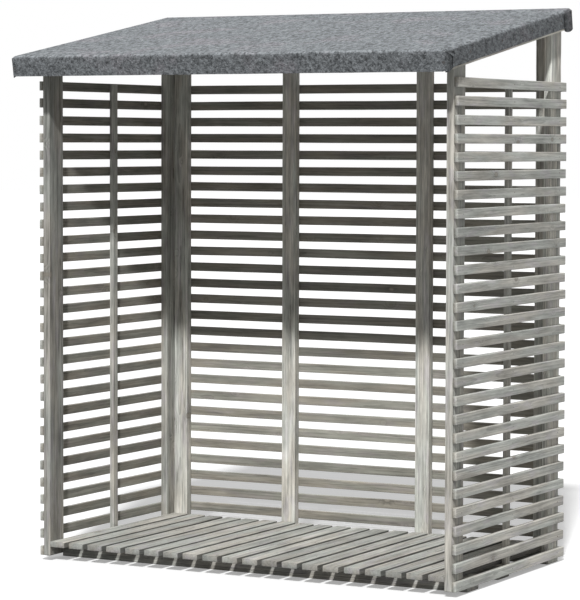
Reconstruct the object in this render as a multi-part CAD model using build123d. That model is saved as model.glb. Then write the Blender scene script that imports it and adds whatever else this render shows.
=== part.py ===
from build123d import *
import math
import os

# A free-standing timber log store: two slatted side panels, a slatted rear wall,
# a slatted floor on bearers, and a felted lid roof that falls towards the open front.
# All sizes are in millimetres. +X runs to the right seen from the front, +Y to the
# rear and +Z up. The origin is on the ground, in the middle of the overall plan.

# Side panels
store_width = 1676.0
store_depth = 928.0
post_width = 28.0
post_depth = 92.0
batten_depth = 34.0
batten_thickness = 16.0
batten_centre_share = 0.51
batten_top_margin = 3.0

# Slats of the sides and the rear wall
slat_count = 28
slat_height = 34.0
slat_pitch = 64.0
slat_thickness = 16.0
slat_foot = 20.0

# Rear wall studs, laid flat
stud_width = 58.0
stud_thickness = 36.0
centre_bay = 522.0

# Floor
floor_slat_count = 20
floor_slat_width = 62.0
floor_slat_thickness = 21.0
bearer_setback = 127.0
bearer_width = 95.0
bearer_height = 52.0

# Roof
roof_pitch = 9.8
eaves_gap = 14.0
roof_front_overhang = 150.0
lid_clearance = 1.0
edge_board_thickness = 18.0
edge_board_depth = 73.0
rafter_width = 28.0
rafter_depth = 54.0
deck_thickness = 14.0
deck_board_count = 9
deck_board_gap = 2.0
deck_edge_radius = 12.0
felt_thickness = 3.0
felt_side_apron = 70.0

# Eased edges of planed posts and of sawn slats
post_arris = 2.0
slat_arris = 1.5

# Derived roof: a lid that drops over the panels and the tops of the rear posts, drawn
# flat and then tilted about its front top edge
slope = math.radians(roof_pitch)
deck_underside = felt_thickness + deck_thickness
rafter_underside = deck_underside + rafter_depth
roof_depth = felt_thickness + edge_board_depth
lid_wall = edge_board_thickness + felt_thickness
felt_radius = deck_edge_radius + felt_thickness
board_drop = (roof_depth - rafter_underside) * math.sin(slope)
roof_rear_overhang = lid_clearance + lid_wall * math.cos(slope) + board_drop
felt_nose = felt_radius * (math.cos(slope) + math.sin(slope) - 1)

# Derived plan: the overall depth is that of the roof, and the origin is in its middle
half_width = store_width / 2
panel_half_width = half_width + slat_thickness
overall_depth = roof_front_overhang + store_depth + roof_rear_overhang
front_face = roof_front_overhang - overall_depth / 2
rear_face = front_face + store_depth
rear_post_front = rear_face - post_depth
stud_front = rear_face - stud_thickness
inner_half_width = half_width - post_width
batten_half_width = half_width - batten_thickness
batten_centre = front_face + batten_centre_share * store_depth
bearer_start = front_face + bearer_setback

# Derived heights: the front apron ends a little above the top slat
top_slat_edge = slat_foot + (slat_count - 1) * slat_pitch + slat_height
roof_front_height = top_slat_edge + eaves_gap + roof_depth * math.cos(slope)

roof_half_width = panel_half_width + lid_clearance + lid_wall
roof_front = -overall_depth / 2 - felt_nose
roof_length = (overall_depth + felt_nose - roof_depth * math.sin(slope)) / math.cos(slope)


def underside_height(y):
    """Height of the rafters' underside above the ground at a depth y."""
    start_y = roof_front + rafter_underside * math.sin(slope)
    start_z = roof_front_height - rafter_underside * math.cos(slope)
    return start_z + (y - start_y) * math.tan(slope)


def block(x_range, y_range, z_range):
    """A square-edged block between three pairs of limits."""
    ranges = (x_range, y_range, z_range)
    size = [high - low for low, high in ranges]
    centre = [(low + high) / 2 for low, high in ranges]
    return Pos(*centre) * Box(*size)


def timber(x_range, y_range, z_range, grain, arris):
    """A length of timber with its four edges along the grain eased."""
    solid = block(x_range, y_range, z_range)
    return chamfer(solid.edges().filter_by(grain), arris)


def roof_upright(x_range, y_range, foot):
    """An upright whose top is cut to the slope, so that a rafter seats on it."""
    y_low, y_high = y_range
    outline = Polyline(
        (y_low, foot),
        (y_high, foot),
        (y_high, underside_height(y_high)),
        (y_low, underside_height(y_low)),
        close=True,
    )
    profile = Plane.YZ.offset(x_range[0]) * make_face(outline)
    solid = extrude(profile, amount=x_range[1] - x_range[0])
    return chamfer(solid.edges().filter_by(Axis.Z), post_arris)


def on_roof(solid):
    """Tilts a piece of the lid, drawn flat from its front top edge, to its place."""
    return Pos(0, roof_front, roof_front_height) * Rot(X=roof_pitch) * solid


def mirrored_range(side, low, high):
    """Limits along X on the left (-1) or the right (+1) of the middle plane."""
    return (low, high) if side > 0 else (-high, -low)


def stacked(slat):
    """Copies of the lowest slat, one above the other at the slat pitch."""
    return [Pos(0, 0, number * slat_pitch) * slat for number in range(slat_count)]


def side_posts(side):
    """Front and rear post of a side panel; the rear one stands on the ground."""
    across = mirrored_range(side, inner_half_width, half_width)
    front = roof_upright(across, (front_face, front_face + post_depth), slat_foot)
    rear = roof_upright(across, (rear_post_front, rear_face), 0)
    return front, rear


def middle_batten(side):
    """Batten inside the slats, past the middle bearer's end to just above the top slat."""
    across = mirrored_range(side, batten_half_width, half_width)
    along = (batten_centre - batten_depth / 2, batten_centre + batten_depth / 2)
    upright = (slat_foot, top_slat_edge + batten_top_margin)
    return timber(across, along, upright, Axis.Z, slat_arris)


def side_slats(side):
    """Slats nailed outside the posts, run on at the rear to cover the rear wall's edge."""
    across = mirrored_range(side, half_width, panel_half_width)
    along = (front_face, rear_face + slat_thickness)
    upright = (slat_foot, slat_foot + slat_height)
    return stacked(timber(across, along, upright, Axis.Y, slat_arris))


def rear_slats():
    """Slats on the back of the studs and rear posts, between the side slats' ends."""
    along = (rear_face, rear_face + slat_thickness)
    upright = (slat_foot, slat_foot + slat_height)
    return stacked(timber((-half_width, half_width), along, upright, Axis.X, slat_arris))


def rear_studs():
    """Two end studs against the rear posts and two between them, left to right."""
    end = inner_half_width - stud_width
    inner = centre_bay / 2
    starts = (-inner_half_width, -inner - stud_width, inner, end)
    along = (stud_front, rear_face)
    return [roof_upright((start, start + stud_width), along, 0) for start in starts]


def floor_slats():
    """Slats that run front to rear between the side panels, with equal gaps."""
    first = -inner_half_width
    step = (2 * inner_half_width - floor_slat_width) / (floor_slat_count - 1)
    along = (front_face, stud_front)
    upright = (bearer_height, bearer_height + floor_slat_thickness)
    slat = timber((first, first + floor_slat_width), along, upright, Axis.Y, slat_arris)
    return [Pos(number * step, 0, 0) * slat for number in range(floor_slat_count)]


def bearer(half_length, along):
    """A bearer on the ground, centred between the side panels."""
    across = (-half_length, half_length)
    return timber(across, along, (0, bearer_height), Axis.X, post_arris)


def floor_bearers():
    """Front bearer between the side slats, middle one between the battens, rear one
    between the rear posts."""
    front = bearer(half_width, (bearer_start, bearer_start + bearer_width))
    middle_start = batten_centre - bearer_width / 2
    middle = bearer(batten_half_width, (middle_start, middle_start + bearer_width))
    rear = bearer(inner_half_width, (rear_post_front, stud_front))
    return front, middle, rear


def lid_rafters():
    """Rafters over the side posts and the inner studs, between the edge boards."""
    edge = felt_thickness + edge_board_thickness
    inner = centre_bay / 2 + stud_width / 2 - rafter_width / 2
    starts = (-half_width, -inner - rafter_width, inner, half_width - rafter_width)
    along = (edge, roof_length - edge)
    level = (-rafter_underside, -deck_underside)
    return [on_roof(block((start, start + rafter_width), along, level)) for start in starts]


def lid_outline(inset, depth, radius):
    """The lid's block, set in from its outer faces, with the edges of its top rounded."""
    half = roof_half_width - inset
    solid = block((-half, half), (inset, roof_length - inset), (-depth, -inset))
    return fillet(solid.faces().sort_by(Axis.Z)[-1].edges(), radius)


def lid_deck():
    """Boards across the rafters, rounded where the felt turns down over them."""
    slab = lid_outline(felt_thickness, deck_underside, deck_edge_radius)
    covered = roof_length - 2 * felt_thickness
    board = (covered - deck_board_gap * (deck_board_count - 1)) / deck_board_count
    step = board + deck_board_gap
    across = (-roof_half_width, roof_half_width)
    level = (-deck_underside, 0)
    starts = [felt_thickness + number * step for number in range(deck_board_count)]
    return [on_roof(slab & block(across, (start, start + board), level)) for start in starts]


def lid_cross_board(start):
    """Front or rear edge board, between the verge boards."""
    half = roof_half_width - felt_thickness - edge_board_thickness
    level = (-roof_depth, -deck_underside)
    return on_roof(block((-half, half), (start, start + edge_board_thickness), level))


def lid_verge_board(side):
    """Side edge board, along the whole slope."""
    outer = roof_half_width - felt_thickness
    across = mirrored_range(side, outer - edge_board_thickness, outer)
    along = (felt_thickness, roof_length - felt_thickness)
    return on_roof(block(across, along, (-roof_depth, -deck_underside)))


def lid_felt():
    """Felt over the deck, turned down on all sides, and a little shorter at the verges."""
    outer = lid_outline(0, roof_depth, felt_radius)
    inside = lid_outline(felt_thickness, roof_depth, deck_edge_radius)
    along = (felt_thickness, roof_length - felt_thickness)
    trim = block((-roof_half_width, roof_half_width), along, (-roof_depth, -felt_side_apron))
    return on_roof(outer - inside - trim)


def save(name, shape):
    """Writes one node; a list of separate solids goes into it as one compound."""
    if isinstance(shape, list):
        shape = Compound(children=shape)
    export_step(shape, os.path.join("parts", name + ".step"))


os.makedirs("parts", exist_ok=True)

for side, word in ((-1, "left"), (1, "right")):
    front_post, rear_post = side_posts(side)
    save("front_post_" + word, front_post)
    save("rear_post_" + word, rear_post)
    save("middle_batten_" + word, middle_batten(side))
    save("side_slats_" + word, side_slats(side))
    save("verge_board_" + word, lid_verge_board(side))

stud_names = ("rear_stud_left", "rear_stud_inner_left", "rear_stud_inner_right", "rear_stud_right")
for name, stud in zip(stud_names, rear_studs()):
    save(name, stud)
save("rear_slats", rear_slats())

for place, solid in zip(("front", "middle", "rear"), floor_bearers()):
    save("floor_bearer_" + place, solid)
save("floor_slats", floor_slats())

rafter_names = ("rafter_left", "rafter_inner_left", "rafter_inner_right", "rafter_right")
for name, rafter in zip(rafter_names, lid_rafters()):
    save(name, rafter)
save("front_edge_board", lid_cross_board(felt_thickness))
save("rear_edge_board", lid_cross_board(roof_length - felt_thickness - edge_board_thickness))
for number, board in enumerate(lid_deck(), start=1):
    save("deck_board_" + str(number), board)
save("roof_felt", lid_felt())
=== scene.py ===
# Dresses a free-standing log store: eased and weathered planks, nail heads, a granule-faced
# felt over its lid, a pale floor, soft light and the camera. All sizes are in metres, in the
# frame of its solids: +X right seen from the open front, +Y to the rear, +Z up.
import math
import random

import bmesh
import bpy
from mathutils import Matrix, Vector, noise


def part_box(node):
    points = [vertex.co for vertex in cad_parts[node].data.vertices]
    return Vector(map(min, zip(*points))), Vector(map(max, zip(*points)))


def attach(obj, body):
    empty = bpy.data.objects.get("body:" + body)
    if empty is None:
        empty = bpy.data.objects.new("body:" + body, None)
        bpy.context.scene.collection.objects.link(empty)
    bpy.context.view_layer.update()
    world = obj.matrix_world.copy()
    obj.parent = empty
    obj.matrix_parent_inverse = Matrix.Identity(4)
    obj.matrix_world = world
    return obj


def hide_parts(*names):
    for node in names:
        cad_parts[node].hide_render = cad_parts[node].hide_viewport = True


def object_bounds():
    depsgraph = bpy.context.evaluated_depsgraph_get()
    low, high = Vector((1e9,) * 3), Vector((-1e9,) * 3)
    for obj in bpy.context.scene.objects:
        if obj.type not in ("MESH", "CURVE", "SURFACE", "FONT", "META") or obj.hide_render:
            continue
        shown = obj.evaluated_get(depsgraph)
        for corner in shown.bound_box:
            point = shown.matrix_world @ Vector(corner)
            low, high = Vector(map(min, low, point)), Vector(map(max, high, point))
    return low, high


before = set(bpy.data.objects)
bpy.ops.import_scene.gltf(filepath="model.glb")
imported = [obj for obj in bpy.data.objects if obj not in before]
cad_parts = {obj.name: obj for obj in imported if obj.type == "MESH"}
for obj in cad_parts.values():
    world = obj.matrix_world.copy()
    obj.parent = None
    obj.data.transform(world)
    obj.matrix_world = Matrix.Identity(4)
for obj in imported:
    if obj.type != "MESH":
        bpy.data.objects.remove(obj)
cad_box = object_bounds()

# Camera, fitted to the corners of the panels, the floor and the roof in the photo
camera_side = 4.7087
camera_distance = 8.2347
camera_height = 1.5629
camera_aim = Vector((-0.47932, 0.87631, -0.04821))
camera_roll = 0.0024
camera_lens = 160.2
camera_sensor = 36.0
camera_shift = -0.05
camera_reach = 200.0

# Light: a high key from the front right, which the roof keeps out of the bay, and a fill
key_direction = Vector((-0.26, 0.69, -0.68))
key_level = 1.0
key_softness = math.radians(4)
fill_level = 0.34

# Floor: white to the camera, and dimmer in the light that it throws back at the store
floor_reach = 60.0
floor_white = (0.85, 0.85, 0.85, 1)
floor_glow = 0.3
floor_bounce = (0.35, 0.35, 0.35, 1)
white = (1, 1, 1, 1)

# Planks: the spacing of their sections and their eased edges
station_spacing = 0.035
post_arris = 0.0022
slat_arris = 0.0016
board_arris = 0.001
end_arris_share = 0.7
verge_end_bevel = 0.003
plank_crease = math.radians(50)

# Planks: how far they bow, lie out of line and end unevenly
upright_bow = 0.0008
plank_bow = 0.0006
rear_slat_bow = 0.0012
floor_slat_bow = 0.0016
slat_drop = 0.0008
floor_slat_drift = 0.001
batten_trim = 0.006
side_slat_front_range = (-0.0008, 0.0012)
side_slat_rear_range = (-0.0035, 0.0035)
floor_slat_front_range = (-0.0012, 0.002)
floor_slat_rear_range = (0, 0.003)

# Shades of single timbers, where 1 leaves the colour of their kind as it is; some of them are painted
# shade, as marked
# Painted shade on the plank faces that look into the bay
painted_bay_shade = (0.5, 0.48, 0.45)
# Painted shade: slats paler towards the ground and darker towards the top, under the roof
slat_foot_shade = 1.08
slat_top_painted_shade = 0.16
rear_slat_shade = 1.12
# Painted shade on the bearers, which lie under the floor slats
bearer_painted_shade = 0.75
verge_shade = 1.35
# Painted shade on the sides of the floor slats, in the gaps between them
floor_gap_painted_shade = 0.42
upright_shades = {
    "front_post_left": 0.68,
    "rear_post_left": 0.85,
    "middle_batten_left": 0.95,
    "rear_post_right": 1.18,
    "rear_stud_inner_left": 1.2,
    "rear_stud_inner_right": 1.25,
}

# Nail heads: small ones in the slats, and broad clouts in the felt. The profile gives a
# ring's share of the radius and of the height that a head stands out.
nail_radius = 0.0025
clout_radius = 0.0062
nail_size_range = (0.9, 1.1)
nail_height = 0.0005
nail_profile = ((1.0, -0.4), (1.0, 0.4), (0.62, 0.9))
nail_sides = 10
nail_drift = 0.004

# Felt
felt_inset = 0.0015
felt_thickness = 0.0013
felt_fold_radius = 0.015
felt_corner_radius = 0.006
felt_side_share = 0.885
felt_crease = math.radians(45)
ear_thickness = 0.003
lap_lift = 0.0045

side_signs = {"left": -1, "right": 1}
end_signs = {"front": -1, "rear": 1}

# The lid's slope, read from the widest upward face of its middle deck board
deck_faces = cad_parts["deck_board_5"].data.polygons
deck_top = max(deck_faces, key=lambda face: face.area * face.normal.z)
slope = math.atan2(-deck_top.normal.y, deck_top.normal.z)
lid_frame = Matrix.Rotation(slope, 4, "X")


def box_range(points):
    """Lowest and highest corner of some points."""
    low = Vector([min(point[axis] for point in points) for axis in range(3)])
    high = Vector([max(point[axis] for point in points) for axis in range(3)])
    return low, high


def solids(node, place=Matrix.Identity(4)):
    """Boxes of a node's separate solids, measured along the axes of a given frame."""
    mesh = bmesh.new()
    mesh.from_mesh(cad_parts[node].data)
    bmesh.ops.transform(mesh, matrix=place.inverted(), verts=mesh.verts)
    bmesh.ops.remove_doubles(mesh, verts=mesh.verts, dist=1e-5)
    left = set(mesh.verts)
    boxes = []
    while left:
        queue = [left.pop()]
        found = list(queue)
        while queue:
            for edge in queue.pop().link_edges:
                for vertex in edge.verts:
                    if vertex in left:
                        left.remove(vertex)
                        queue.append(vertex)
                        found.append(vertex)
        boxes.append(box_range([vertex.co for vertex in found]))
    mesh.free()
    return sorted(boxes, key=lambda box: tuple(round(value, 5) for value in reversed(box[0])))


def closed_mesh(name, points, faces):
    """A mesh of closed surfaces, with every face turned outwards."""
    mesh = bpy.data.meshes.new(name)
    mesh.from_pydata(points, [], faces)
    shape = bmesh.new()
    shape.from_mesh(mesh)
    bmesh.ops.recalc_face_normals(shape, faces=shape.faces)
    shape.to_mesh(mesh)
    shape.free()
    return mesh


def store_values(mesh, name, values, domain="POINT"):
    """Keeps one number for each point, or for each face, of a mesh."""
    mesh.attributes.new(name, "FLOAT", domain).data.foreach_set("value", values)


def smooth(mesh, crease):
    """Smooth shading, with sharp edges where two faces meet at more than an angle."""
    mesh.polygons.foreach_set("use_smooth", [True] * len(mesh.polygons))
    mesh.set_sharp_from_angle(angle=crease)


def add_object(name, mesh, material):
    """Puts a mesh into the scene as a piece of the store."""
    piece = bpy.data.objects.new(name, mesh)
    bpy.context.scene.collection.objects.link(piece)
    mesh.materials.append(material)
    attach(piece, "root")
    return piece


class Planks:
    """Planks joined into one mesh; every vertex keeps its place in its own plank's grain.

    A plank is a row of sections along its length. A section's outline has five points at
    each corner: three on the arris's arc, and one on the flat at either side of it.
    """

    # The outline, its points on the high wide face, and how far out a wide face begins, as
    # a share of the thickness
    outline_points = 20
    high_face = range(2, 8)
    wide_face_share = 0.35

    # Sections at an eased end, in bevels from it
    easing = (0, 1, 3)

    # Wear across an arris and on the flats beside it, and how it comes and goes; its pale arrises
    # also stand in for a painted highlight
    arris_wear = (0.7, 1.0, 0.7)
    flat_wear = 0.1
    wear_middle = 0.75
    wear_spread = 0.7
    wear_rate = 23
    wear_waves = 6

    # Where a plank lies in its tree: along it, across the pith and away from the pith
    pith_range = ((0, 60), (-0.035, 0.035), (0.012, 0.08))
    tint_range = (0.85, 1.15)

    # Uneven shape: its size, its rate along a metre, and how far apart its lanes of noise lie
    face_bow_share = 0.35
    bow_rate = 2.2
    swell = 0.0003
    swell_rate = 8
    arris_spread = 0.8
    arris_rate = 17
    lane_gap = 9

    def __init__(self, name):
        self.name = name
        self.random = random.Random(name)
        self.points = []
        self.faces = []
        self.grain = []
        self.wear = []
        self.tint = []
        self.inside = []
        self.end_faces = set()

    def drift(self, limit):
        """How far the two ends of a plank lie out of line."""
        return [self.random.uniform(-limit, limit) for _ in range(2)]

    def waver(self, seed, place, lane):
        """Smooth noise from -1 to 1 along a plank, unlike that of its other lanes."""
        return noise.noise(seed + Vector((place, self.lane_gap * lane, 0)))

    def stations(self, length, bevel):
        """Places of the sections along a plank, close together at its eased ends."""
        count = max(4, round(length / station_spacing))
        easing = [bevel * step for step in self.easing]
        between = [length * step / count for step in range(1, count)]
        return [*easing, *between, *(length - place for place in reversed(easing))]

    def section(self, half_width, half_thickness, radii):
        """Points of a rounded rectangle with a support point on each side of a corner."""
        outline = []
        corners = ((1, 1), (-1, 1), (-1, -1), (1, -1))
        for number, (side, face) in enumerate(corners):
            radius = radii[number]
            centre = (side * (half_width - radius), face * (half_thickness - radius))
            start = math.radians(90 * number)
            arc = []
            for step, wear in enumerate(self.arris_wear):
                angle = start + step * math.pi / 4
                point = (centre[0] + radius * math.cos(angle), centre[1] + radius * math.sin(angle))
                arc.append((point, wear))
            support = min(1.5 * radius, 0.5 * (half_thickness - radius))
            (first_x, first_y), (last_x, last_y) = arc[0][0], arc[-1][0]
            before = (first_x + support * math.sin(start), first_y - support * math.cos(start))
            after = (last_x - support * math.cos(start), last_y - support * math.sin(start))
            outline += [(before, self.flat_wear), *arc, (after, self.flat_wear)]
        return outline

    def section_at(self, seed, station, width, thickness, arris, inset):
        """A plank's outline at one station, a little swollen and with uneven arrises."""
        swell = self.swell * self.waver(seed, station * self.swell_rate, 2)
        radii = [
            arris * (1 + self.arris_spread * self.waver(seed, station * self.arris_rate, lane))
            for lane in range(3, 7)
        ]
        return self.section(width / 2 + swell - inset, thickness / 2 - inset, radii)

    def worn(self, seed, station, side, width, wear):
        """The wear and painted highlight at a point of the outline, which come and go along a plank.
        """
        spot = Vector((station * self.wear_rate, self.wear_waves * side / width, 3))
        patch = self.wear_middle + self.wear_spread * noise.noise(seed + spot)
        return max(0.0, min(1.0, wear * patch))

    def add(self, box, arris, bow=plank_bow, top_slope=0.0, lift=(0.0, 0.0), place=None,
            bevel=None, shade=1.0, inner=0, painted_side_shade=1.0):
        """A plank along the longest side of a box, bowed a little and cut square or sloped.

        `lift` puts its two ends out of line, across its length and along its wide faces.
        `inner` is -1 or +1 where the low or the high one of those faces looks into the bay, where it
        is given painted shade.
        The last argument gives painted shade to every face along the grain but the high wide one.
        """
        low, high = box
        size = high - low
        centre = (low + high) / 2
        along, across, through = sorted(range(3), key=lambda axis: -size[axis])
        length, width, thickness = size[along], size[across], size[through]
        seed = Vector([self.random.uniform(0, 100) for _ in range(3)])
        pith = Vector([self.random.uniform(*limits) for limits in self.pith_range])
        tint = shade * self.random.uniform(*self.tint_range)
        bevel = bevel or end_arris_share * arris
        stations = self.stations(length, bevel)
        first = len(self.points)
        for number, station in enumerate(stations):
            at_end = number in (0, len(stations) - 1)
            near_top = number >= len(stations) - len(self.easing)
            inset = bevel if at_end else 0.0
            share = station / length
            side_bow = bow * self.waver(seed, station * self.bow_rate, 0)
            face_bow = self.face_bow_share * bow * self.waver(seed, station * self.bow_rate, 1)
            outline = self.section_at(seed, station, width, thickness, arris, inset)
            for index, ((side, face), wear) in enumerate(outline):
                point = Vector(centre)
                point[along] = low[along] + station
                point[across] += side + side_bow + lift[0] * (1 - share) + lift[1] * share
                point[through] += face + face_bow
                if near_top:
                    point[along] += top_slope * (point[1] - centre[1])
                if place is None:
                    point.z = max(point.z, 0.0)
                full_tint = at_end or index in self.high_face
                inside = face * inner > self.wide_face_share * thickness
                self.points.append(place @ point if place else point)
                self.grain.append(Vector((station, side, face)) + pith)
                self.wear.append(self.worn(seed, station, side, width, wear))
                # Faces other than the ends and the high wide face take the painted side shade
                self.tint.append(tint if full_tint else tint * painted_side_shade)
                self.inside.append(1.0 if inside else 0.0)
        self.skin(first, len(stations))

    def skin(self, first, rows):
        """Faces round a row of sections and over its two ends."""
        columns = self.outline_points
        for row in range(rows - 1):
            for column in range(columns):
                after = (column + 1) % columns
                low = first + row * columns
                high = low + columns
                if row in (0, rows - 2):
                    self.end_faces.add(len(self.faces))
                self.faces.append((low + column, low + after, high + after, high + column))
        last = first + (rows - 1) * columns
        self.end_faces.add(len(self.faces))
        self.faces.append(tuple(reversed(range(first, first + columns))))
        self.end_faces.add(len(self.faces))
        self.faces.append(tuple(range(last, last + columns)))

    def finish(self, material, slot, *nodes):
        """Makes the piece, with its grain, its wear and painted highlight, and its tint and painted
        shade, in place of its plain nodes.
        """
        mesh = closed_mesh(self.name, self.points, self.faces)
        grain = mesh.attributes.new("grain", "FLOAT_VECTOR", "POINT")
        grain.data.foreach_set("vector", [value for point in self.grain for value in point])
        store_values(mesh, "wear", self.wear)
        store_values(mesh, "tint", self.tint)
        store_values(mesh, "inside", self.inside)
        ends = [1.0 if number in self.end_faces else 0.0 for number in range(len(self.faces))]
        store_values(mesh, "end", ends, "FACE")
        smooth(mesh, plank_crease)
        piece = add_object(self.name, mesh, material)
        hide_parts(*nodes)


class Graph:
    """Builds the nodes of a material or a world; values may be numbers or sockets."""

    def __init__(self, owner):
        owner.use_nodes = True
        self.owner = owner
        self.tree = owner.node_tree
        self.tree.nodes.clear()

    def node(self, kind, values=None, **settings):
        """A shader node with its settings, and values for some of its inputs."""
        made = self.tree.nodes.new("ShaderNode" + kind)
        for key, value in settings.items():
            setattr(made, key, value)
        for key, value in (values or {}).items():
            if isinstance(value, bpy.types.NodeSocket):
                self.tree.links.new(value, made.inputs[key])
            else:
                made.inputs[key].default_value = value
        return made

    def attribute(self, name, output="Fac"):
        """A value that the mesh carries."""
        return self.node("Attribute", attribute_name=name).outputs[output]

    def math(self, operation, *values):
        return self.node("Math", dict(enumerate(values)), operation=operation).outputs[0]

    def vector(self, operation, *values):
        made = self.node("VectorMath", dict(enumerate(values)), operation=operation)
        return made.outputs["Value" if operation == "LENGTH" else "Vector"]

    def spread(self, value, low, high, to_low=0.0, to_high=1.0):
        """A number eased from one range into another, and held at both ends."""
        values = {
            "Value": value,
            "From Min": low,
            "From Max": high,
            "To Min": to_low,
            "To Max": to_high,
        }
        return self.node("MapRange", values, interpolation_type="SMOOTHSTEP").outputs[0]

    def noise(self, place, rate, detail=2.0, roughness=0.5):
        """Noise with so many waves a metre, which may differ along the three axes."""
        if isinstance(rate, tuple):
            place = self.vector("MULTIPLY", place, rate)
            rate = 1.0
        values = {"Vector": place, "Scale": rate, "Detail": detail, "Roughness": roughness}
        return self.node("TexNoise", values).outputs["Fac"]

    def vary(self, level, value, amount, middle=0.5):
        """A level raised by an amount times what a value has over its middle."""
        return self.math("MULTIPLY_ADD", self.math("SUBTRACT", value, middle), amount, level)

    def change(self, level, value, amount):
        """A level that changes by a share of itself where a value is 1."""
        return self.math("MULTIPLY", level, self.math("MULTIPLY_ADD", value, amount, 1.0))

    def mix(self, factor, first, second):
        return self.node("Mix", {0: factor, 6: first, 7: second}, data_type="RGBA").outputs[2]

    def shade(self, colour, value):
        """A colour made lighter or darker by a number."""
        return self.node("VectorMath", {0: colour, "Scale": value}, operation="SCALE").outputs[0]

    def surface(self, colour, roughness, height, depth, strength, more):
        """Ends a material in a shader with a bump of a given height, depth and strength."""
        bump = self.node("Bump", {"Strength": strength, "Distance": depth, "Height": height})
        values = {"Base Color": colour, "Roughness": roughness, "Normal": bump.outputs[0]}
        return self.output(self.node("BsdfPrincipled", {**values, **more}).outputs[0])

    def output(self, shader, kind="OutputMaterial"):
        """Ends the nodes in an output, and gives back the material or the world."""
        self.tree.links.new(shader, self.node(kind).inputs["Surface"])
        return self.owner


def plank_inputs(graph):
    """What a plank's mesh carries: its place in the grain, and tint with painted shade, wear with
    painted highlight, ends and the bay side that takes painted shade.
    """
    grain = graph.attribute("grain", "Vector")
    return grain, *(graph.attribute(name) for name in ("tint", "wear", "end", "inside"))


def board_inputs(graph):
    """The same for a plain board inside the lid, which differs from the others by chance."""
    tree_length = 31.0
    pith_depth = 0.03
    lowest_tint, tint_spread = 0.9, 0.2
    place = graph.node("TexCoord").outputs["Object"]
    chance = graph.node("ObjectInfo").outputs["Random"]
    run = graph.math("MULTIPLY", chance, tree_length)
    shift = graph.node("CombineXYZ", {0: run, 2: pith_depth}).outputs[0]
    grain = graph.vector("ADD", place, shift)
    tint = graph.math("MULTIPLY_ADD", chance, tint_spread, lowest_tint)
    return grain, tint, 0.0, 0.0, 1.0


def knots(graph, grain, run, side, share):
    """Long knots in a share of the cells along a plank: how deep in one, and how large it is."""
    cell = (0.31, 0.09, 1.0)
    scatter = 0.9
    lengthening = 0.62
    ripple_rate, ripple_size = (90, 160, 160), 0.003
    least_radius, largest_radius = -0.003, 0.0105
    flat = graph.node("CombineXYZ", {0: run, 1: side}).outputs[0]
    cells = graph.vector("DIVIDE", flat, cell)
    values = {"Vector": cells, "Scale": 1.0, "Randomness": scatter}
    found = graph.node("TexVoronoi", values, voronoi_dimensions="2D").outputs
    away = graph.vector("SUBTRACT", cells, found["Position"])
    away = graph.vector("MULTIPLY", away, (cell[0] * lengthening, cell[1], 0.0))
    ripple = graph.math("MULTIPLY", graph.noise(grain, ripple_rate), ripple_size)
    distance = graph.math("ADD", graph.vector("LENGTH", away), ripple)
    chance = graph.node("SeparateColor", {0: found["Color"]}).outputs[0]
    radius = graph.spread(chance, 1 - share, 1.0, least_radius, largest_radius)
    return graph.math("SUBTRACT", radius, distance), graph.spread(chance, 1 - share, 1.0)


def growth_rings(graph, grain, side, face, halo):
    """Rings round the pith, which wander a little and are pushed aside round a knot."""
    ring_width = 0.0046
    late_wood = 2.5
    wander_rate, wander_size = (2.2, 9, 9), 0.016
    knot_push = 0.007
    wander = graph.math("MULTIPLY", graph.noise(grain, wander_rate, 3.0), wander_size)
    squares = [graph.math("POWER", value, 2.0) for value in (side, face)]
    depth = graph.math("ADD", graph.math("SQRT", graph.math("ADD", *squares)), wander)
    depth = graph.math("ADD", depth, graph.math("MULTIPLY", halo, knot_push))
    across_ring = graph.math("FRACT", graph.math("DIVIDE", depth, ring_width))
    return graph.math("POWER", across_ring, late_wood)


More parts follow.
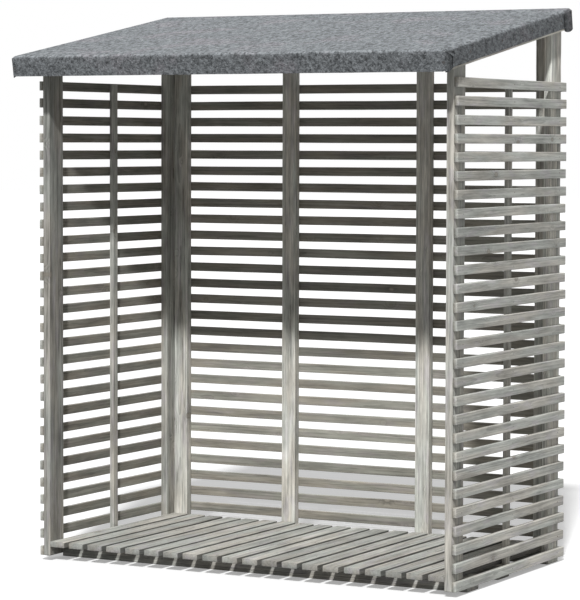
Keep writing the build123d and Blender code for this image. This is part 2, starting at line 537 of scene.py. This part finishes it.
def wood(name, base, knot_share=0.22, contrast=1.0, end_level=0.8, inputs=plank_inputs):
    """Grey-stained softwood: rings, fibres, streaks, knots, pale worn edges that also carry a painted
    highlight, dark ends, and painted shade on faces that look into the bay.

    The rates of its noise are for each metre along, across and through a plank.
    """
    knot_edge = 0.0012
    halo_width = 0.02
    heart_depth = 0.005
    darkest = 0.15
    graph = Graph(bpy.data.materials.new(name))
    grain, tint, wear, end, painted_bay_shade_mask = inputs(graph)
    run, side, face = graph.node("SeparateXYZ", {0: grain}).outputs
    inside, largeness = knots(graph, grain, run, side, knot_share)
    knot = graph.spread(inside, -knot_edge, knot_edge)
    halo = graph.spread(inside, -halo_width, 0.0)
    ring = growth_rings(graph, grain, side, face, halo)
    fibres = graph.noise(grain, (22, 640, 640), 3.0, 0.6)
    streaks = graph.noise(grain, (3.2, 130, 130), 4.0, 0.6)
    blotches = graph.noise(grain, (5, 22, 22), 3.0, 0.55)
    cracks = graph.spread(graph.noise(grain, (7, 420, 420)), 0.70, 0.76)

    level = graph.vary(1.0, streaks, 1.3 * contrast)
    level = graph.vary(level, fibres, 0.9 * contrast)
    level = graph.vary(level, blotches, 1.1 * contrast)
    level = graph.vary(level, ring, -0.26 * contrast, middle=0.28)
    level = graph.math("MULTIPLY_ADD", graph.math("MULTIPLY", halo, largeness), -0.16, level)
    # Pale worn edges, which also stand in for a painted highlight along the arrises
    level = graph.math("MULTIPLY_ADD", wear, 0.32, level)
    # The tint carries each plank's own tone and any painted shade given to it: slats darker towards
    # the top, floor slat sides and the bearers
    level = graph.math("MULTIPLY", level, tint)
    level = graph.change(level, end, end_level - 1)
    level = graph.math("MAXIMUM", level, darkest)

    def tinged(*factors):
        """The stain's colour with its three channels made a little stronger or weaker."""
        return (*(part * factor for part, factor in zip(base, factors)), 1)

    hue = graph.spread(graph.noise(grain, (2.6, 18, 18)), 0.38, 0.62)
    bloom = graph.spread(graph.noise(grain, (9, 40, 40)), 0.5, 0.7)
    colour = graph.mix(hue, tinged(1.03, 1.0, 0.95), tinged(0.97, 1.005, 0.985))
    colour = graph.mix(graph.math("MULTIPLY", bloom, 0.7), colour, tinged(1.01, 0.975, 1.035))
    colour = graph.shade(colour, level)
    # Painted shade on the faces that look into the bay
    colour = graph.mix(painted_bay_shade_mask, colour, graph.vector("MULTIPLY", colour, painted_bay_shade))

    # Knots with a dark edge round a paler heart, and dark drying cracks
    dark = tinged(0.42, 0.38, 0.33)
    heart = tinged(0.72, 0.67, 0.6)
    knot_colour = graph.mix(graph.spread(inside, 0.0, heart_depth), dark, heart)
    colour = graph.mix(graph.math("MULTIPLY", knot, 0.7), colour, knot_colour)
    colour = graph.mix(graph.math("MULTIPLY", cracks, 0.6), colour, dark)

    height = graph.math("MULTIPLY_ADD", fibres, 0.6, graph.math("MULTIPLY", streaks, 0.5))
    height = graph.math("MULTIPLY_ADD", ring, 0.25, height)
    height = graph.math("MULTIPLY_ADD", cracks, -0.9, height)
    height = graph.math("MULTIPLY_ADD", knot, 0.3, height)
    rough = graph.math("MULTIPLY_ADD", fibres, 0.2, 0.68)
    return graph.surface(colour, rough, height, 0.0009, 0.8, {"Specular IOR Level": 0.3})


def felt(name, painted_shade_scale=1.0):
    """Bitumen felt faced with grey mineral granules, with painted shade on its upright faces and in
    its folds, so that it is paler where it lies flat.
    """
    granule_rate = 330.0
    darkest = 0.25
    upright_shade = 0.56
    graph = Graph(bpy.data.materials.new(name))
    place = graph.node("TexCoord").outputs["Object"]
    normal = graph.node("NewGeometry").outputs["Normal"]
    flat = graph.spread(graph.node("SeparateXYZ", {0: normal}).outputs["Z"], 0.0, 0.95)
    granules = graph.node("TexVoronoi", {"Vector": place, "Scale": granule_rate}).outputs
    chance = graph.node("SeparateColor", {0: granules["Color"]}).outputs
    clumps = graph.spread(graph.noise(place, 120.0, 2.0, 0.6), 0.36, 0.62)
    mottle = graph.spread(graph.noise(place, (72, 34, 72), 2.0, 0.55), 0.36, 0.62)
    pits = graph.spread(graph.noise(place, (104, 50, 104), 1.0), 0.55, 0.67)
    patches = graph.noise(place, 5.0, 3.0, 0.55)
    soot = graph.attribute("soot")

    level = graph.vary(1.06, chance[0], 0.4)
    level = graph.vary(level, clumps, 0.4)
    level = graph.vary(level, mottle, 0.6)
    level = graph.vary(level, patches, 0.4)
    level = graph.math("MAXIMUM", level, darkest)
    level = graph.change(level, pits, -0.42)
    # Painted shade in the folds of the ears
    level = graph.change(level, soot, -0.8)
    # Painted shade: upright faces darker than the flat top, and the folded ears darker still
    painted_upright_shade = graph.spread(flat, 0.0, 1.0, upright_shade * painted_shade_scale, 1.0)
    level = graph.math("MULTIPLY", level, painted_upright_shade)

    blue = (0.25, 0.268, 0.282, 1)
    violet = (0.274, 0.263, 0.284, 1)
    pale = (0.5, 0.52, 0.55, 1)
    patched = graph.spread(patches, 0.5, 0.66)
    tone = graph.math("MULTIPLY", patched, graph.spread(chance[1], 0.1, 0.7))
    colour = graph.shade(graph.mix(tone, blue, violet), level)
    sparkle = graph.spread(chance[2], 0.95, 0.98)
    colour = graph.mix(graph.math("MULTIPLY", sparkle, 0.35), colour, pale)

    swelling = graph.math("MULTIPLY", clumps, 0.9)
    height = graph.math("MULTIPLY_ADD", granules["Distance"], -1.2, swelling)
    return graph.surface(colour, 0.92, height, 0.0016, 0.9, {"Specular IOR Level": 0.25})


def nail_metal(name, level=1.0):
    """Dull galvanised heads with some rust."""
    graph = Graph(bpy.data.materials.new(name))
    place = graph.node("TexCoord").outputs["Object"]
    zinc = (0.34, 0.34, 0.34, 1)
    brown = (0.16, 0.11, 0.085, 1)
    rust = graph.spread(graph.noise(place, 160.0, 3.0, 0.6), 0.48, 0.66)
    colour = graph.shade(graph.mix(rust, zinc, brown), level)
    rough = graph.math("MULTIPLY_ADD", rust, 0.35, 0.5)
    return graph.surface(colour, rough, rust, 0.0003, 0.5, {"Metallic": 0.5})


slat_wood = wood("slat_wood", (0.45, 0.448, 0.425))
frame_wood = wood("frame_wood", (0.455, 0.448, 0.422), knot_share=0.15, contrast=1.5)
floor_wood = wood("floor_wood", (0.45, 0.446, 0.423), end_level=0.55)
roof_wood = wood("roof_wood", (0.44, 0.42, 0.385))
deck_wood = wood("deck_wood", (0.62, 0.59, 0.55), inputs=board_inputs)
roof_felt = felt("mineral_felt_granules")
# The folded ears take a stronger painted shade on their upright faces
folded_felt = felt("mineral_felt_folds", painted_shade_scale=0.72)
nail_steel = nail_metal("nail_heads")
clout_steel = nail_metal("clout_heads", 0.25)


def upright(node):
    """A post, stud or batten; posts and studs are cut to the slope of the rafters."""
    piece = Planks("timber_" + node)
    low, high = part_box(node)
    sloped = "batten" not in node
    tilt = math.tan(slope) if sloped else 0.0
    high.z -= tilt * (high.y - low.y) / 2 if sloped else batten_trim
    shade = upright_shades.get(node, 1.0)
    piece.add((low, high), post_arris, bow=upright_bow, top_slope=tilt, shade=shade)
    piece.finish(frame_wood, "frame_timber", node)


def painted_height_shade(height):
    """Painted shade: slats darker towards the top, under the roof, and paler towards the ground."""
    return slat_foot_shade - slat_top_painted_shade * height / cad_box[1][2]


def side_panel_slats(node, side):
    """The slats of one side, a little out of line and of uneven length at the rear."""
    piece = Planks("timber_" + node)
    for low, high in solids(node):
        low.y += piece.random.uniform(*side_slat_front_range)
        high.y += piece.random.uniform(*side_slat_rear_range)
        lift = piece.drift(slat_drop)
        piece.add((low, high), slat_arris, lift=lift, shade=painted_height_shade(low.z), inner=-side)
    piece.finish(slat_wood, "slat_timber", node)


def rear_wall_slats(node):
    """The slats of the rear wall, a little out of line, with their front faces to the bay."""
    piece = Planks("timber_" + node)
    for low, high in solids(node):
        lift = piece.drift(slat_drop)
        shade = rear_slat_shade * painted_height_shade(low.z)
        piece.add((low, high), slat_arris, bow=rear_slat_bow, lift=lift, shade=shade, inner=-1)
    piece.finish(slat_wood, "slat_timber", node)


def floor_slats(node):
    """The floor's slats, of uneven length, pale above and with painted shade on their sides in the
    gaps between them.
    """
    piece = Planks("timber_" + node)
    for low, high in solids(node):
        low.y += piece.random.uniform(*floor_slat_front_range)
        high.y -= piece.random.uniform(*floor_slat_rear_range)
        lift = piece.drift(floor_slat_drift)
        dark = floor_gap_painted_shade
        piece.add((low, high), slat_arris, bow=floor_slat_bow, lift=lift, painted_side_shade=dark)
    piece.finish(floor_wood, "floor_timber", node)


def bearer(node):
    """A bearer under the floor, darker than the posts by painted shade under the floor slats."""
    piece = Planks("timber_" + node)
    piece.add(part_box(node), post_arris, shade=bearer_painted_shade)
    piece.finish(frame_wood, "frame_timber", node)


def lid_board(node, bevel=None, shade=1.0):
    """A rafter or an edge board, made flat and tilted with the lid."""
    piece = Planks("timber_" + node)
    for box in solids(node, lid_frame):
        piece.add(box, board_arris, place=lid_frame, bevel=bevel, shade=shade)
    piece.finish(roof_wood, "roof_timber", node)


def timber():
    """Every plank of the store; the deck boards keep their plain solids."""
    for word, side in side_signs.items():
        for name in ("front_post_", "rear_post_", "middle_batten_"):
            upright(name + word)
        side_panel_slats("side_slats_" + word, side)
        lid_board("verge_board_" + word, bevel=verge_end_bevel, shade=verge_shade)
    for word in ("left", "inner_left", "inner_right", "right"):
        upright("rear_stud_" + word)
        lid_board("rafter_" + word)
    rear_wall_slats("rear_slats")
    for word in ("front", "middle", "rear"):
        bearer("floor_bearer_" + word)
    floor_slats("floor_slats")
    for word in end_signs:
        lid_board(word + "_edge_board")
    for name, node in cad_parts.items():
        if name.startswith("deck_board_"):
            node.data.materials.clear()
            node.data.materials.append(deck_wood)


def nail_heads(name, places, normal_axis, facing, clout=False):
    """Low domes, one at each spot, that face along one axis; clouts are set out on the lid."""
    radius = clout_radius if clout else nail_radius
    material = clout_steel if clout else nail_steel
    place = lid_frame if clout else Matrix.Identity(4)
    chance = random.Random(name)
    points, faces = [], []
    others = [axis for axis in range(3) if axis != normal_axis]
    for spot in places:
        first = len(points)
        size = radius * chance.uniform(*nail_size_range)
        for share, height in nail_profile:
            for side in range(nail_sides):
                angle = 2 * math.pi * side / nail_sides
                point = Vector(spot)
                point[others[0]] += share * size * math.cos(angle)
                point[others[1]] += share * size * math.sin(angle)
                point[normal_axis] += facing * height * nail_height
                points.append(place @ point)
        for ring in range(len(nail_profile) - 1):
            low = first + ring * nail_sides
            high = low + nail_sides
            for side in range(nail_sides):
                after = (side + 1) % nail_sides
                faces.append((low + side, low + after, high + after, high + side))
        top = first + (len(nail_profile) - 1) * nail_sides
        faces.append(tuple(range(top, top + nail_sides)))
        faces.append(tuple(range(first, first + nail_sides)))
    add_object(name, closed_mesh(name, points, faces), material)


def slat_nails():
    """One nail where each slat crosses a post, batten or stud, and two in each floor slat."""
    chance = random.Random("slat nails")

    def near(value):
        return value + chance.uniform(-nail_drift, nail_drift)

    for word, side in side_signs.items():
        carriers = [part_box(name + word) for name in ("front_post_", "middle_batten_", "rear_post_")]
        places = []
        for low, high in solids("side_slats_" + word):
            outer = high.x if side > 0 else low.x
            height = (low.z + high.z) / 2
            for start, end in carriers:
                places.append((outer, near((start.y + end.y) / 2), near(height)))
        nail_heads("nails_side_" + word, places, 0, side)

    names = ("rear_post_left", "rear_stud_inner_left", "rear_stud_inner_right", "rear_post_right")
    carriers = [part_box(name) for name in names]
    places = []
    for low, high in solids("rear_slats"):
        for start, end in carriers:
            places.append((near((start.x + end.x) / 2), high.y, near((low.z + high.z) / 2)))
    nail_heads("nails_rear", places, 1, 1)

    carriers = [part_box("floor_bearer_" + place) for place in ("front", "middle", "rear")]
    places = []
    for low, high in solids("floor_slats"):
        for start, end in carriers:
            for share in (0.25, 0.75):
                across = low.x + share * (high.x - low.x)
                places.append((near(across), near((start.y + end.y) / 2), high.z))
    nail_heads("nails_floor", places, 2, 1)


class FeltForm:
    """The lid's outer form, turned down over rounded edges and small upright corners."""

    # Low waves on the flat, an uneven hem and ripples down the aprons
    wave = 0.0006
    wave_rate = 3.1
    settling = 0.0004
    hem_share = 0.012
    hem_rate = 5
    ripple = 0.0011
    ripple_rate = 8
    ripple_fall_rate = 12

    def __init__(self):
        self.low, self.high = solids("roof_felt", lid_frame)[0]
        self.centre = (self.low + self.high) / 2
        self.half = (self.high - self.low) / 2
        self.depth = 2 * self.half.z
        self.inner = (self.half.x - felt_fold_radius, self.half.y - felt_fold_radius)

    def corner_point(self, side, end, x, y, depth):
        """A point set out from the lid's middle towards one corner, and down from its top."""
        return Vector((self.centre.x + side * x, self.centre.y + end * y, self.high.z - depth))

    def waver(self, place, rate, layer):
        """Smooth noise from -1 to 1 over the sheet."""
        return noise.noise(Vector((place.x * rate, place.y * rate, layer)))

    def corner(self, out, share):
        """A point on the rounded corner that lies `out` beyond the flat, part of the way round."""
        radius = felt_corner_radius * min(1.0, out / felt_fold_radius)
        straight = out - radius
        path = share * (2 * straight + radius * math.pi / 2)
        if path <= straight:
            return path, out
        rest = path - straight - radius * math.pi / 2
        if rest >= 0:
            return out, straight - rest
        turn = (path - straight) / radius
        return straight + radius * math.sin(turn), straight + radius * math.cos(turn)

    def point(self, flat, beyond, inset):
        """The place of a point of the sheet, given where it leaves the flat and how far on.

        On each axis `beyond` runs to 1 over the fold, and from 1 to 2 down the apron.
        """
        radius = felt_fold_radius - inset
        distance = max(abs(beyond[0]), abs(beyond[1]))
        place = Vector((self.centre.x + flat[0], self.centre.y + flat[1], self.high.z - inset))
        wave = self.wave * self.waver(place, self.wave_rate, 4.0) - self.settling
        place.z += wave * (1 - min(1.0, distance))
        if distance == 0:
            return place
        if abs(beyond[0]) <= abs(beyond[1]):
            share = 0.5 * abs(beyond[0]) / abs(beyond[1])
        else:
            share = 1 - 0.5 * abs(beyond[1]) / abs(beyond[0])
        turn = min(distance, 1.0) * math.pi / 2
        fall = max(0.0, distance - 1.0) * (self.depth - felt_fold_radius)
        drop = felt_side_share + (1 - felt_side_share) * (1 - share)
        uneven = 1 + self.hem_share * self.waver(place, self.hem_rate, 11.0)
        ripple = self.waver(place, self.ripple_rate, fall * self.ripple_fall_rate)
        ripple *= self.ripple * min(1.0, distance)
        step = self.corner(radius * math.sin(turn), share)
        place.x += math.copysign(step[0] + ripple * math.sin(share * math.pi / 2), beyond[0])
        place.y += math.copysign(step[1] + ripple * math.cos(share * math.pi / 2), beyond[1])
        place.z -= radius * (1 - math.cos(turn)) + fall * drop * uneven
        return place


def sheet_lines(half, count):
    """Lines across the sheet: the flat's place and the share of the fold beyond it."""
    fold_steps = 8
    apron_steps = 6
    folds = [step / fold_steps for step in range(1, fold_steps + 1)]
    folds += [1 + step / apron_steps for step in range(1, apron_steps + 1)]
    lines = [(-half, -fold) for fold in reversed(folds)]
    lines += [(-half + 2 * half * step / count, 0.0) for step in range(count + 1)]
    return lines + [(half, fold) for fold in folds]


def felt_sheet(name, outer, inner, material, soot=None):
    """A closed sheet of felt between an outer and an inner grid of the same size.

    The last argument gives the sheet's painted shade at a share of the way along its rows.
    """
    rows, columns = len(outer), len(outer[0])
    points = [lid_frame @ point for grid in (outer, inner) for row in grid for point in row]
    offset = rows * columns
    faces = []
    for row in range(rows - 1):
        for column in range(columns - 1):
            corner = row * columns + column
            face = (corner, corner + 1, corner + columns + 1, corner + columns)
            faces.append(face)
            faces.append(tuple(reversed([index + offset for index in face])))
    rim = list(range(columns))
    rim += [row * columns + columns - 1 for row in range(1, rows)]
    rim += [(rows - 1) * columns + column for column in reversed(range(columns - 1))]
    rim += [row * columns for row in reversed(range(1, rows - 1))]
    for number, index in enumerate(rim):
        after = rim[(number + 1) % len(rim)]
        faces.append((index, index + offset, after + offset, after))
    mesh = closed_mesh(name, points, faces)
    if soot:
        levels = [soot(row / (rows - 1)) for row in range(rows)]
        store_values(mesh, "soot", 2 * [level for level in levels for _ in range(columns)])
    smooth(mesh, felt_crease)
    return add_object(name, mesh, material)


def felt_skin(form):
    """The felt itself, over the deck and down over the edge boards on all four sides."""
    columns, rows = 90, 56
    across = sheet_lines(form.inner[0], columns)
    along = sheet_lines(form.inner[1], rows)

    def layer(inset):
        return [[form.point((x, y), (dx, dy), inset) for x, dx in across] for y, dy in along]

    outer, inner = layer(felt_inset), layer(felt_inset + felt_thickness)
    skin = felt_sheet("felt_skin", outer, inner, roof_felt)
    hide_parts("roof_felt")


def felt_ear(form, side_word, end_word, length, top, bottom, lift, soot):
    """The end of the front or rear apron, folded round a corner onto the side.

    `top` and `bottom` give its edges' depths at the corner, half way and at its end.
    """
    side, end = side_signs[side_word], end_signs[end_word]
    columns, rows = 20, 8
    thin_share = 0.25
    lift_curve = 1.5
    gap = 0.0002
    arc = felt_corner_radius * math.pi / 2

    def through(levels, share):
        """The depth on a parabola through three levels."""
        start, middle, finish = levels
        slant = 4 * middle - 3 * start - finish
        return start + slant * share + (2 * start - 4 * middle + 2 * finish) * share ** 2

    def layer(raised):
        grid = []
        for column in range(columns + 1):
            run = (arc + length) * column / columns
            angle = min(run / felt_corner_radius, math.pi / 2)
            back = max(0.0, run - arc)
            share = back / length
            rise = raised * min(1.0, column / columns / thin_share) + lift * share ** lift_curve
            reach = felt_corner_radius - felt_inset + rise
            x = form.half.x - felt_corner_radius + reach * math.sin(angle)
            y = form.half.y - felt_corner_radius + reach * math.cos(angle) - back
            line = []
            for row in range(rows + 1):
                fall = row / rows
                depth = through(top, share) * (1 - fall) + through(bottom, share) * fall
                line.append(form.corner_point(side, end, x, y, depth))
            grid.append(line)
        return grid

    name = "felt_ear_%s_%s" % (side_word, end_word)
    felt_sheet(name, layer(ear_thickness), layer(gap), folded_felt, soot)


def front_ear(form, word):
    """A front ear, which tapers towards its end under the lap, with painted shade that grows towards
    it.
    """
    length, lift = 0.062, 0.0
    top = (0.01, 0.012, 0.014)
    bottom = (0.08 - 0.001 * side_signs[word], 0.074, 0.062)

    def soot(run):
        return 0.1 + 0.9 * run ** 2

    felt_ear(form, word, "front", length, top, bottom, lift, soot)


def rear_ear(form, word):
    """A rear ear, with painted shade in its fold and at its loose end."""
    length, lift = 0.078, 0.001
    top = (0.01, 0.011, 0.013)
    bottom = (0.08, 0.086, 0.078)

    def soot(run):
        return 0.8 * abs(2 * run - 1) ** 1.6

    felt_ear(form, word, "rear", length, top, bottom, lift, soot)


def felt_lap(form, word):
    """The front end of a side apron, cut slantwise and lapped over the front apron's ear.

    Its edge slants back from the top to the elbow, and leans forward a little below it.
    """
    columns, rows = 14, 14
    hem_gap = 0.001
    top, elbow, bottom = 0.009, 0.032, felt_side_share * form.depth - hem_gap
    start, cut, end = 0.008, 0.05, 0.19
    lean = 0.004
    sunk = 0.0004

    def layer(under):
        grid = []
        for column in range(columns + 1):
            share = column / columns
            line = []
            for row in range(rows + 1):
                depth = top + (bottom - top) * row / rows
                slant = min(1.0, (depth - top) / (elbow - top))
                edge = start + (cut - start) * slant
                edge -= lean * max(0.0, depth - elbow) / (bottom - elbow)
                back = edge + (end - edge) * share
                rise = (ear_thickness + lap_lift * slant ** 1.5) * (1 - share) ** 3 - sunk * share
                x = form.half.x - felt_inset + rise - under
                y = form.half.y - back
                line.append(form.corner_point(side_signs[word], end_signs["front"], x, y, depth))
            grid.append(line)
        return grid

    felt_sheet("felt_lap_" + word, layer(0.0), layer(ear_thickness), roof_felt)


def felt_nails(form):
    """Clout nails at the front corners, along the side aprons and along the rear one."""
    side_count, rear_count = 4, 8
    side_depth, front_depth, rear_depth = 0.037, 0.046, 0.05
    front_margin, rear_margin, side_margin = 0.2, 0.106, 0.01
    first, last = form.low.y + front_margin, form.high.y - rear_margin
    edge = form.half.x - side_margin
    for word, side in side_signs.items():
        outer = form.centre.x + side * (form.half.x - felt_inset)
        steps = [first + (last - first) * step / (side_count - 1) for step in range(side_count)]
        places = [(outer, y, form.high.z - side_depth) for y in steps]
        nail_heads("nails_felt_" + word, places, 0, side, clout=True)
    steps = [form.centre.x + edge * side for side in side_signs.values()]
    places = [(x, form.low.y + felt_inset, form.high.z - front_depth) for x in steps]
    nail_heads("nails_felt_front", places, 1, -1, clout=True)
    steps = [form.centre.x + edge * (2 * step / (rear_count - 1) - 1) for step in range(rear_count)]
    places = [(x, form.high.y - felt_inset, form.high.z - rear_depth) for x in steps]
    nail_heads("nails_felt_rear", places, 1, 1, clout=True)


def covering():
    """The felt, its folded corners and its nails."""
    form = FeltForm()
    felt_skin(form)
    for word in side_signs:
        front_ear(form, word)
        felt_lap(form, word)
        rear_ear(form, word)
    felt_nails(form)


def seen_directly(graph):
    """1 for what the camera sees, also by way of gloss or glass, and 0 for what only lights."""
    path = graph.node("LightPath").outputs
    seen = graph.math("MAXIMUM", path["Is Camera Ray"], path["Is Glossy Ray"])
    return graph.math("MAXIMUM", seen, path["Is Transmission Ray"])


def pale_floor():
    """A pale floor that the camera sees as white, with the store's shadow kept on it."""
    graph = Graph(bpy.data.materials.new("pale_floor"))
    pale = graph.node("BsdfDiffuse", {"Color": floor_white}).outputs[0]
    glow = graph.node("Emission", {"Color": white, "Strength": floor_glow}).outputs[0]
    shown = graph.node("AddShader", {0: pale, 1: glow}).outputs[0]
    dim = graph.node("BsdfDiffuse", {"Color": floor_bounce}).outputs[0]
    mixed = graph.node("MixShader", {0: seen_directly(graph), 1: dim, 2: shown}).outputs[0]
    mesh = bpy.data.meshes.new("floor")
    signs = ((-1, -1), (1, -1), (1, 1), (-1, 1))
    corners = [(x * floor_reach, y * floor_reach, 0) for x, y in signs]
    mesh.from_pydata(corners, [], [(0, 1, 2, 3)])
    mesh.materials.append(graph.output(mixed))
    floor = bpy.data.objects.new("floor", mesh)
    bpy.context.scene.collection.objects.link(floor)


def studio_light():
    """The key, and a world that lights evenly and shows white behind the store."""
    lamp = bpy.data.lights.new("key", "SUN")
    lamp.energy = key_level * math.pi
    lamp.angle = key_softness
    key = bpy.data.objects.new("key", lamp)
    key.rotation_euler = key_direction.to_track_quat("-Z", "Y").to_euler()
    bpy.context.scene.collection.objects.link(key)

    graph = Graph(bpy.data.worlds.new("studio"))
    fill = graph.node("Background", {"Color": white, "Strength": fill_level}).outputs[0]
    backdrop = graph.node("Background", {"Color": white, "Strength": 1.0}).outputs[0]
    mixed = graph.node("MixShader", {0: seen_directly(graph), 1: fill, 2: backdrop}).outputs[0]
    bpy.context.scene.world = graph.output(mixed, "OutputWorld")


def photo_camera():
    """The camera at the photo's viewpoint, set from the posts' front faces."""
    lens = bpy.data.cameras.new("camera")
    lens.lens = camera_lens
    lens.sensor_width = camera_sensor
    lens.sensor_fit = "AUTO"
    lens.shift_y = camera_shift
    lens.clip_end = camera_reach
    camera = bpy.data.objects.new("camera", lens)
    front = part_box("front_post_right")[0].y
    camera.location = (camera_side, front - camera_distance, camera_height)
    turn = camera_aim.to_track_quat("-Z", "Y").to_matrix().to_4x4()
    turn = turn @ Matrix.Rotation(camera_roll, 4, "Z")
    camera.rotation_euler = turn.to_euler()
    bpy.context.scene.collection.objects.link(camera)
    bpy.context.scene.camera = camera


timber()
slat_nails()
covering()
pale_floor()
studio_light()
photo_camera()
bpy.context.scene.view_settings.view_transform = "Standard"
